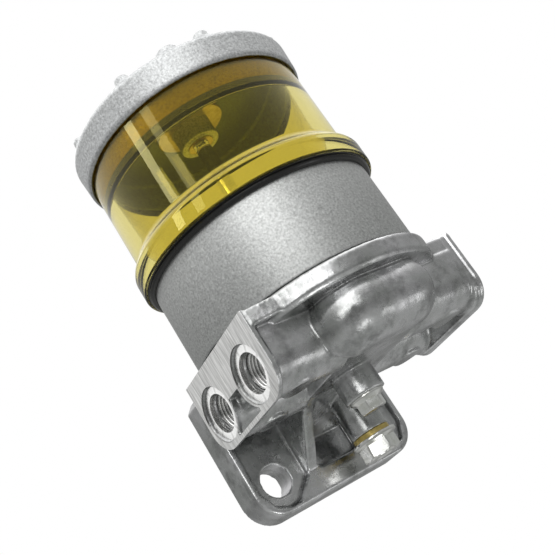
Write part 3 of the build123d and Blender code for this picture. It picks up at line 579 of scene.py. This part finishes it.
def grid_mesh(name, points, closed_rows=False):
    """A mesh from a grid of points of shape (rows, columns, 3).

    Each row closes into a ring, and the last row joins the first where asked.
    """
    rows, columns = points.shape[:2]
    index = np.arange(rows * columns).reshape(rows, columns)
    if closed_rows:
        index = np.vstack([index, index[:1]])
    index = np.hstack([index, index[:, :1]])
    faces = np.stack([index[:-1, :-1], index[:-1, 1:], index[1:, 1:], index[1:, :-1]], -1).reshape(-1, 4)
    mesh = bpy.data.meshes.new(name)
    mesh.from_pydata(points.reshape(-1, 3).tolist(), [], faces.tolist())
    shape = bmesh.new()
    shape.from_mesh(mesh)
    bmesh.ops.remove_doubles(shape, verts=shape.verts, dist=1e-7)
    bmesh.ops.recalc_face_normals(shape, faces=shape.faces)
    shape.to_mesh(mesh)
    shape.free()
    mesh.polygons.foreach_set("use_smooth", np.ones(len(mesh.polygons), bool))
    return mesh


def joined(name, meshes):
    """Several meshes as one."""
    shape = bmesh.new()
    for mesh in meshes:
        shape.from_mesh(mesh)
    result = bpy.data.meshes.new(name)
    shape.to_mesh(result)
    shape.free()
    return result


def thread_cut(along, angle, pitch):
    """How deep a thread is cut, from 0 to 1.

    It is the triangle wave |2 * fraction of (along / pitch - angle / turn) - 1|, made steeper and
    cut flat at both ends.
    """
    phase = along / pitch - angle / (2 * np.pi)
    wave = np.abs(phase % 1.0 * 2 - 1)
    return np.clip(wave * FLANK_STEEPNESS - FLANK_SHIFT, 0, 1)


def bore_thread(y):
    """Inside thread of the port at y, along X: radius = thread radius - depth * thread cut."""
    angle = np.linspace(0, 2 * np.pi, PORT_THREAD_SIDES, endpoint=False)
    rows = int(PORT_THREAD_LENGTH / PORT_THREAD_PITCH * ROWS_IN_PITCH) + 1
    deep = np.linspace(0, PORT_THREAD_LENGTH, rows)[:, None]
    radius = PORT_THREAD_R - PORT_THREAD_DEPTH * thread_cut(deep, angle, PORT_THREAD_PITCH)
    points = np.stack(
        [
            np.broadcast_to(THREAD_START_X - deep, radius.shape),
            y + radius * np.cos(angle),
            PORT_Z + radius * np.sin(angle),
        ],
        -1,
    )
    mesh = grid_mesh("thread", points * MM)
    mesh.flip_normals()
    return mesh


thread_mesh = joined("port_threads", [bore_thread(y) for y in PORT_YS])
port_threads = link_mesh("port_threads", thread_mesh, turned_metal, "housing")


def lit_by(lamp, name, pieces):
    """Only these pieces receive the light of this lamp."""
    receivers = bpy.data.collections.new(name)
    for piece in pieces:
        receivers.objects.link(piece)
    lamp.light_linking.receiver_collection = receivers


lit_by(port_box, "port_receivers", [port_seats, port_threads, port_face])

# Canister
# A drawn aluminium shell under satin silver lacquer, with fine flakes that catch the light. Its
# narrower neck sits inside the head, and lips turned inwards at both ends rest on the seals.
AXIS_Y = -48.5
CANISTER_R = 44.0
CANISTER_WALL = 1.2
CANISTER_LOW = -72.3
SHOULDER_Z = -40.5
NECK_R = 41.8
NECK_TOP = -36.2
LIP_R = 39.6
SILVER = (0.58, 0.59, 0.58)


def rounded(outline, steps=5):
    """An outline of (radius, height, corner radius) with each corner as an arc of a few points.

    The arc is drawn as a quadratic curve from the point where it leaves one side to the point where
    it meets the next, with the corner itself as the control point.
    """
    corners = np.array(outline, float)
    here = corners[:, :2]
    before = np.roll(here, 1, axis=0) - here
    after = np.roll(here, -1, axis=0) - here
    long_before = np.linalg.norm(before, axis=1)
    long_after = np.linalg.norm(after, axis=1)
    cut = np.minimum(corners[:, 2], 0.45 * np.minimum(long_before, long_after))
    start = here + before / long_before[:, None] * cut[:, None]
    end = here + after / long_after[:, None] * cut[:, None]
    t = np.linspace(0, 1, steps)[None, :, None]
    curve = (1 - t) ** 2 * start[:, None] + 2 * t * (1 - t) * here[:, None] + t**2 * end[:, None]
    return curve.reshape(-1, 2)


def turned(name, outline, segments, smooth=40):
    """A solid of revolution: the rounded outline carried round the vertical axis of the canister."""
    ring = rounded(outline)
    angle = np.linspace(0, 2 * np.pi, segments, endpoint=False)
    radius = ring[:, 0][:, None]
    points = np.stack(
        [
            radius * np.cos(angle),
            AXIS_Y + radius * np.sin(angle),
            np.broadcast_to(ring[:, 1][:, None], (len(ring), segments)),
        ],
        -1,
    )
    mesh = grid_mesh(name, points * MM, closed_rows=True)
    mesh.set_sharp_from_angle(angle=math.radians(smooth))
    return mesh


def plain_color(tree, color):
    """A socket of one fixed colour."""
    plain = tree.nodes.new("ShaderNodeRGB")
    plain.outputs[0].default_value = (*color, 1)
    return plain.outputs[0]


silver_lacquer, silver_tree, silver_shader, silver_place = base_material(
    "silver_lacquer", (0.60, 0.61, 0.60), 1.0, 0.48
)
silver_grain = grain_node(silver_tree, silver_place, 1300.0, 1.5)
silver_flakes = scaled_color(silver_tree, plain_color(silver_tree, SILVER), silver_grain.outputs["Tone"])
silver_tree.links.new(silver_flakes, silver_shader.inputs["Base Color"])
bumped(silver_tree, silver_shader, [(silver_grain.outputs["Height"], 0.8, 0.10)])
canister_mesh = turned(
    "canister_shell",
    [
        (CANISTER_R, CANISTER_LOW, 0.6),
        (CANISTER_R, SHOULDER_Z, 0.5),
        (NECK_R, SHOULDER_Z, 0.2),
        (NECK_R, NECK_TOP, 0.4),
        (LIP_R, NECK_TOP, 0.2),
        (LIP_R, NECK_TOP - CANISTER_WALL, 0.2),
        (NECK_R - CANISTER_WALL, NECK_TOP - CANISTER_WALL, 0.2),
        (NECK_R - CANISTER_WALL, SHOULDER_Z - CANISTER_WALL, 0.2),
        (CANISTER_R - CANISTER_WALL, SHOULDER_Z - CANISTER_WALL, 0.2),
        (CANISTER_R - CANISTER_WALL, CANISTER_LOW + CANISTER_WALL, 0.2),
        (LIP_R, CANISTER_LOW + CANISTER_WALL, 0.2),
        (LIP_R, CANISTER_LOW, 0.2),
    ],
    240,
)
canister_shell = link_mesh("canister_shell", canister_mesh, silver_lacquer, "housing")
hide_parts("canister")

# Gasket
# A black rubber ring with two beads round its rim, wet with fuel, squeezed between the foot of the
# canister and the flange of the bowl, and standing up a little round the canister.
GASKET_IN_R = 39.9
GASKET_LOW = -74.55
GASKET_SEAT = -72.35
GASKET_TOP = -71.75
LOWER_BEAD_R = 46.3
UPPER_BEAD_R = 46.0
BEAD_GROOVE_R = 45.5

black_rubber, rubber_tree, rubber_shader, rubber_place = base_material(
    "black_rubber", (0.012, 0.012, 0.011), 0.0, 0.18
)
rubber_smear = noise_into(rubber_tree, rubber_place, 180.0, 3.0, 0.6)
rubber_gloss = ranged(rubber_tree, rubber_smear.outputs["Fac"], 0.35, 0.7, 0.10, 0.34)
rubber_tree.links.new(rubber_gloss, rubber_shader.inputs["Roughness"])
bumped(rubber_tree, rubber_shader, [(rubber_smear.outputs["Fac"], 0.15, 0.1)])
gasket_mesh = turned(
    "gasket_ring",
    [
        (GASKET_IN_R, GASKET_LOW, 0.3),
        (LOWER_BEAD_R - 0.2, GASKET_LOW, 0.5),
        (LOWER_BEAD_R, -73.6, 0.4),
        (BEAD_GROOVE_R, -73.3, 0.1),
        (UPPER_BEAD_R, -72.7, 0.5),
        (UPPER_BEAD_R - 0.8, GASKET_TOP, 0.4),
        (CANISTER_R + 0.1, GASKET_TOP, 0.1),
        (CANISTER_R + 0.1, GASKET_SEAT, 0.1),
        (GASKET_IN_R, GASKET_SEAT, 0.3),
    ],
    240,
)
gasket_ring = link_mesh("gasket_ring", gasket_mesh, black_rubber, "housing")
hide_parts("bowl_gasket")

# Bowl
# Clear amber plastic with a wall about 7 mm thick, moulded with a stepped flange at the canister
# end. Its cavity narrows a little inside the flange and ends in a shoulder over the cap's seal ring.
FLANGE_R = 47.3
FLANGE_TOP = -73.5
BOWL_R = 43.5
BOWL_TOP = -74.6
BOWL_LOW = -121.85
SEAL_BORE_R = 41.2
CAVITY_R = 36.6
CAVITY_LOW = -109.5
CAVITY_TAPER_Z = -83.0
MOUTH_R = 34.9

amber, _, amber_shader, _ = base_material("amber_plastic", (0.73, 0.64, 0.20), 0.0, 0.015)
amber_shader.inputs["Transmission Weight"].default_value = 1.0
amber_shader.inputs["IOR"].default_value = 1.47
amber_shader.inputs["Specular Tint"].default_value = (1.0, 0.9, 0.34, 1)
bowl_mesh = turned(
    "bowl_wall",
    [
        (LOWER_BEAD_R + 0.1, BOWL_TOP, 0.1),
        (LOWER_BEAD_R + 0.1, FLANGE_TOP, 0.2),
        (FLANGE_R - 0.05, FLANGE_TOP - 0.3, 0.5),
        (FLANGE_R, -80.8, 0.5),
        (46.5, -82.4, 1.2),
        (44.6, -83.6, 1.2),
        (BOWL_R, -85.4, 1.6),
        (BOWL_R, BOWL_LOW, 0.4),
        (SEAL_BORE_R, BOWL_LOW, 0.4),
        (SEAL_BORE_R, CAVITY_LOW - 0.4, 0.2),
        (CAVITY_R, CAVITY_LOW, 0.8),
        (CAVITY_R, CAVITY_TAPER_Z, 0.5),
        (MOUTH_R, BOWL_TOP, 0.3),
    ],
    256,
    smooth=60,
)
bowl_wall = link_mesh("bowl_wall", bowl_mesh, amber, "housing")
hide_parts("bowl")
lit_by(strip_left, "strip_left_receivers", [bowl_wall])
lit_by(strip_middle, "strip_middle_receivers", [bowl_wall])
lit_by(key_box, "key_receivers", [bowl_wall])
key_box.light_linking.receiver_collection.collection_objects[0].light_linking.link_state = "EXCLUDE"

# Base cap
# An aluminium casting, grit blasted after casting: cup with a spigot inside the bowl, ribs and a
# drain lug underneath, and a pillar that takes the centre bolt. Inside the cup painted shade darkens
# the metal, darker and orange on the spigot, and painted light brightens the pillar.
CUP_R = 41.0
CUP_LOW = -123.2
SPIGOT_IN_R = 39.5
PILLAR_R = 10.2
PAINTED_SHADE_AND_LIGHT_EDGE = 0.2
SPIGOT_SHADE_EDGE = 0.5
BLASTED = (0.60, 0.61, 0.61)
# Painted shade inside the cup and on its spigot, and painted light on the pillar, given as colours.
CUP_PAINTED_SHADE = (0.20, 0.24, 0.08)
PILLAR_PAINTED_LIGHT = (0.88, 0.90, 0.60)
SPIGOT_PAINTED_SHADE = (0.40, 0.27, 0.0)

blasted_metal, blasted_tree, blasted_shader, blasted_place = base_material(
    "blasted_metal", BLASTED, 1.0, 0.5
)
blasted_grain = grain_node(blasted_tree, blasted_place, 1200.0, 1.7)
blasted_split = blasted_tree.nodes.new("ShaderNodeSeparateXYZ")
blasted_tree.links.new(blasted_place, blasted_split.inputs[0])
blasted_centred = blasted_tree.nodes.new("ShaderNodeVectorMath")
blasted_centred.operation = "MULTIPLY_ADD"
blasted_centred.inputs[1].default_value = (1, 1, 0)
blasted_centred.inputs[2].default_value = (0, -AXIS_Y * MM, 0)
blasted_tree.links.new(blasted_place, blasted_centred.inputs[0])
blasted_reach = length_of(blasted_tree, blasted_centred.outputs[0])


def passed(value, limit, edge, below, above):
    """One number where a value of the cap's material is below a limit, another where it is past it.

    Limit and the width of the edge between the two are in millimetres.
    """
    return ranged(blasted_tree, value, limit * MM, (limit + edge) * MM, below, above)


def over(tree, factor, below, above):
    """A second colour laid over a colour socket by a factor socket."""
    mix = tree.nodes.new("ShaderNodeMix")
    mix.data_type = "RGBA"
    mix.inputs["B"].default_value = (*above, 1)
    tree.links.new(below, mix.inputs["A"])
    tree.links.new(factor, mix.inputs["Factor"])
    return mix.outputs["Result"]


inside_cup_r = passed(blasted_reach, CUP_R, PAINTED_SHADE_AND_LIGHT_EDGE, 1, 0)
above_cup_floor = passed(blasted_split.outputs["Z"], CUP_LOW, PAINTED_SHADE_AND_LIGHT_EDGE, 0, 1)
within_cup = math_step(blasted_tree, "MULTIPLY", inside_cup_r, above_cup_floor)
past_spigot_bore = passed(blasted_reach, SPIGOT_IN_R, SPIGOT_SHADE_EDGE, 0, 1)
on_spigot = math_step(blasted_tree, "MULTIPLY", within_cup, past_spigot_bore)
inside_pillar_r = passed(blasted_reach, PILLAR_R, PAINTED_SHADE_AND_LIGHT_EDGE, 1, 0)
on_pillar = math_step(blasted_tree, "MULTIPLY", within_cup, inside_pillar_r)
# Painted shade: the cup inside and its spigot are coloured darker as if in shade, and the pillar gets
# painted light.
cap_with_painted_shade = over(blasted_tree, within_cup, plain_color(blasted_tree, BLASTED), CUP_PAINTED_SHADE)
cap_with_pillar_light = over(blasted_tree, on_pillar, cap_with_painted_shade, PILLAR_PAINTED_LIGHT)
cap_with_spigot_shade = over(blasted_tree, on_spigot, cap_with_pillar_light, SPIGOT_PAINTED_SHADE)
cap_toned = scaled_color(blasted_tree, cap_with_spigot_shade, blasted_grain.outputs["Tone"])
blasted_tree.links.new(cap_toned, blasted_shader.inputs["Base Color"])
blasted_pits = noise_into(blasted_tree, blasted_place, 900.0, 3.0, 0.6)
bumped(
    blasted_tree,
    blasted_shader,
    [(blasted_pits.outputs["Fac"], 0.5, 0.15), (blasted_grain.outputs["Height"], 0.8, 0.12)],
)


def nothing_held(points):
    """No vertex is held."""
    return np.zeros(len(points))


cap_mesh = softened("base_cap", 0.6, 6, 150000, nothing_held)
cap_body = link_mesh("cap_body", cap_mesh, blasted_metal, "housing")
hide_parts("base_cap")

# Screws
# Zinc-plated steel with rolled right-hand threads and hexagon heads forged in one with a flange:
# centre bolt down to the base cap, bleed plug on the head and drain plug under the cap.
ZINC_DULL = (0.80, 0.80, 0.76)
ZINC_BRIGHT = (0.97, 0.97, 0.95)
SCREW_SIDES = 96
THREAD_DEPTH_SHARE = 0.54
ON_AXIS_R = 0.5

zinc_plate, zinc_tree, zinc_shader, zinc_place = base_material("zinc_plate", (0.86, 0.86, 0.83), 1.0, 0.2)
zinc_smear = noise_into(zinc_tree, zinc_place, 320.0, 3.0, 0.6)
zinc_tone = clouded(zinc_tree, zinc_smear, 0.35, 0.65, ZINC_DULL, ZINC_BRIGHT)
zinc_tree.links.new(zinc_tone, zinc_shader.inputs["Base Color"])
zinc_gloss = ranged(zinc_tree, zinc_smear.outputs["Fac"], 0.3, 0.7, 0.08, 0.22)
zinc_tree.links.new(zinc_gloss, zinc_shader.inputs["Roughness"])


def screw(name, x, y, outline, flats, head, thread, pitch, turn):
    """A screw round a vertical axis at (x, y), from an outline of (radius, height, corner radius).

    Within the heights of head, the radius is cut off at flats / 2 / cos(angle to the nearest flat),
    which makes the hexagon. Within the heights of thread it loses a share of the pitch times the
    thread cut. Lengths are in millimetres, and turn is how many degrees the hexagon is turned.
    """
    ring = rounded(outline, 3)
    rows = [ring[:1]]
    for start, end in zip(ring[:-1], ring[1:]):
        steps = 1
        if max(start[1], end[1]) > thread[0] and min(start[1], end[1]) < thread[1]:
            steps = max(1, int(abs(end[1] - start[1]) / pitch * ROWS_IN_PITCH))
        rows.append(start + (end - start) * np.linspace(0, 1, steps + 1)[1:, None])
    ring = np.vstack(rows)
    angle = np.linspace(0, 2 * np.pi, SCREW_SIDES, endpoint=False)
    radius = np.repeat(ring[:, :1], SCREW_SIDES, 1)
    height = np.repeat(ring[:, 1:], SCREW_SIDES, 1)
    flat = (angle - math.radians(turn) + np.pi / 6) % (np.pi / 3) - np.pi / 6
    in_head = (height > head[0]) & (height < head[1])
    radius = np.where(in_head, np.minimum(radius, flats / 2 / np.cos(flat)), radius)
    fade = np.clip((height - thread[0]) / pitch, 0, 1) * np.clip((thread[1] - height) / pitch, 0, 1)
    cut = THREAD_DEPTH_SHARE * pitch * thread_cut(height, angle, pitch) * fade
    radius = np.where(radius > ON_AXIS_R, radius - cut, radius)
    points = np.stack([x + radius * np.cos(angle), y + radius * np.sin(angle), height], -1)
    mesh = grid_mesh(name, points * MM)
    mesh.set_sharp_from_angle(angle=math.radians(28))
    return mesh


BOLT_LOW = -126.6
BOLT_R = 3.0
BOLT_FLANGE_LOW = -5.4
BOLT_TOP = 0.2
bolt_outline = [
    (0.0, BOLT_LOW, 0.0),
    (BOLT_R - 0.4, BOLT_LOW, 0.1),
    (BOLT_R, BOLT_LOW + 0.6, 0.2),
    (BOLT_R, BOLT_FLANGE_LOW, 0.0),
    (6.4, BOLT_FLANGE_LOW, 0.1),
    (6.4, BOLT_FLANGE_LOW + 0.9, 0.3),
    (4.9, BOLT_FLANGE_LOW + 1.8, 0.3),
    (4.9, BOLT_TOP - 0.5, 0.2),
    (4.2, BOLT_TOP, 0.2),
    (0.0, BOLT_TOP, 0.0),
]
bolt_mesh = screw(
    "centre_screw",
    0.0,
    AXIS_Y,
    bolt_outline,
    flats=8.6,
    head=(BOLT_FLANGE_LOW + 1.9, BOLT_TOP + 0.1),
    thread=(BOLT_LOW + 0.1, -112.0),
    pitch=1.0,
    turn=50,
)
centre_screw = link_mesh("centre_screw", bolt_mesh, zinc_plate, "bolt_body")
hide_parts("centre_bolt")

PLUG_X = -9.2
PLUG_Y = -26.5
PLUG_LOW = -9.0
PLUG_R = 5.0
PLUG_FLANGE_LOW = 5.0
PLUG_TOP = 12.4
bleed_outline = [
    (0.0, PLUG_LOW, 0.0),
    (PLUG_R - 0.5, PLUG_LOW, 0.1),
    (PLUG_R, PLUG_LOW + 0.6, 0.2),
    (PLUG_R, PLUG_FLANGE_LOW, 0.0),
    (8.8, PLUG_FLANGE_LOW, 0.3),
    (8.8, PLUG_FLANGE_LOW + 1.4, 0.4),
    (7.4, PLUG_FLANGE_LOW + 1.9, 0.3),
    (7.4, PLUG_TOP - 0.6, 0.3),
    (6.4, PLUG_TOP, 0.2),
    (4.0, PLUG_TOP, 0.3),
    (3.4, PLUG_TOP - 0.4, 0.3),
    (0.0, PLUG_TOP - 0.4, 0.0),
]
bleed_mesh = screw(
    "bleed_screw",
    PLUG_X,
    PLUG_Y,
    bleed_outline,
    flats=13.0,
    head=(PLUG_FLANGE_LOW + 1.95, PLUG_TOP + 0.1),
    thread=(PLUG_LOW + 0.1, 3.6),
    pitch=1.25,
    turn=6,
)
bleed_screw = link_mesh("bleed_screw", bleed_mesh, zinc_plate, "bleed_plug_body")
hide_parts("bleed_plug")

DRAIN_X = 12.2577
DRAIN_Y = -72.5572
DRAIN_LOW = -140.0
DRAIN_FLANGE_LOW = -136.6
DRAIN_FLANGE_TOP = -135.4
DRAIN_TOP = -124.4
DRAIN_R = 4.0
drain_outline = [
    (0.0, DRAIN_LOW, 0.0),
    (5.2, DRAIN_LOW, 0.2),
    (5.7, DRAIN_LOW + 0.4, 0.2),
    (5.7, DRAIN_FLANGE_LOW, 0.1),
    (6.8, DRAIN_FLANGE_LOW, 0.3),
    (6.8, DRAIN_FLANGE_TOP, 0.2),
    (DRAIN_R, DRAIN_FLANGE_TOP, 0.1),
    (DRAIN_R, DRAIN_TOP - 0.6, 0.2),
    (DRAIN_R - 0.5, DRAIN_TOP, 0.1),
    (0.0, DRAIN_TOP, 0.0),
]
drain_mesh = screw(
    "drain_screw",
    DRAIN_X,
    DRAIN_Y,
    drain_outline,
    flats=10.0,
    head=(DRAIN_LOW - 0.1, DRAIN_FLANGE_LOW - 0.05),
    thread=(DRAIN_FLANGE_TOP + 0.8, DRAIN_TOP - 0.1),
    pitch=1.25,
    turn=30,
)
drain_screw = link_mesh("drain_screw", drain_mesh, zinc_plate, "drain_plug_body")
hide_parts("drain_plug")

lit_by(front_box, "front_receivers", [head_body, centre_screw, bleed_screw])
lit_by(top_box, "top_receivers", [head_body, centre_screw, bleed_screw])


# Seals, filter element and small fittings
# Rubber rings and grommets, bright steel end discs and core tube round resin-treated paper pleats,
# a moulded deflector, and brass for insert and washers. Each keeps the shape of its solid.
def clouded_material(name, color, metallic, roughness, scale, dark, light):
    """A material with clouds of two shades, and the same clouds as fine relief."""
    material, tree, shader, place = base_material(name, color, metallic, roughness)
    clouds = noise_into(tree, place, scale, 4.0, 0.6)
    tree.links.new(clouded(tree, clouds, 0.3, 0.7, dark, light), shader.inputs["Base Color"])
    bumped(tree, shader, [(clouds.outputs["Fac"], 0.2, 0.05)])
    return material


bright_steel = clouded_material(
    "bright_steel", (0.62, 0.64, 0.60), 1.0, 0.25, 700.0, dark=(0.52, 0.53, 0.50), light=(0.70, 0.71, 0.68)
)
brass_metal = clouded_material(
    "brass_metal", (0.72, 0.56, 0.24), 1.0, 0.28, 500.0, dark=(0.56, 0.42, 0.12), light=(0.80, 0.64, 0.26)
)
paper_fibre = clouded_material(
    "paper_fibre", (0.78, 0.66, 0.38), 0.0, 0.8, 900.0, dark=(0.66, 0.54, 0.28), light=(0.84, 0.73, 0.46)
)
black_mould = clouded_material(
    "black_mould", (0.03, 0.03, 0.03), 0.0, 0.4, 300.0, dark=(0.02, 0.02, 0.02), light=(0.06, 0.06, 0.055)
)
looks = {
    "bowl_seal": black_rubber,
    "head_seal": black_rubber,
    "bolt_seal": black_rubber,
    "grommet": black_rubber,
    "lower_grommet": black_rubber,
    "drain_washer": black_rubber,
    "element_top": bright_steel,
    "element_bottom": bright_steel,
    "core_tube": bright_steel,
    "deflector": black_mould,
    "filter_pleats": paper_fibre,
    "cap_insert": brass_metal,
    "pillar_washer": brass_metal,
    "brass_washer": brass_metal,
}
for node_name, material in looks.items():
    node_mesh = nodes[node_name].data
    node_mesh.materials.clear()
    node_mesh.materials.append(material)
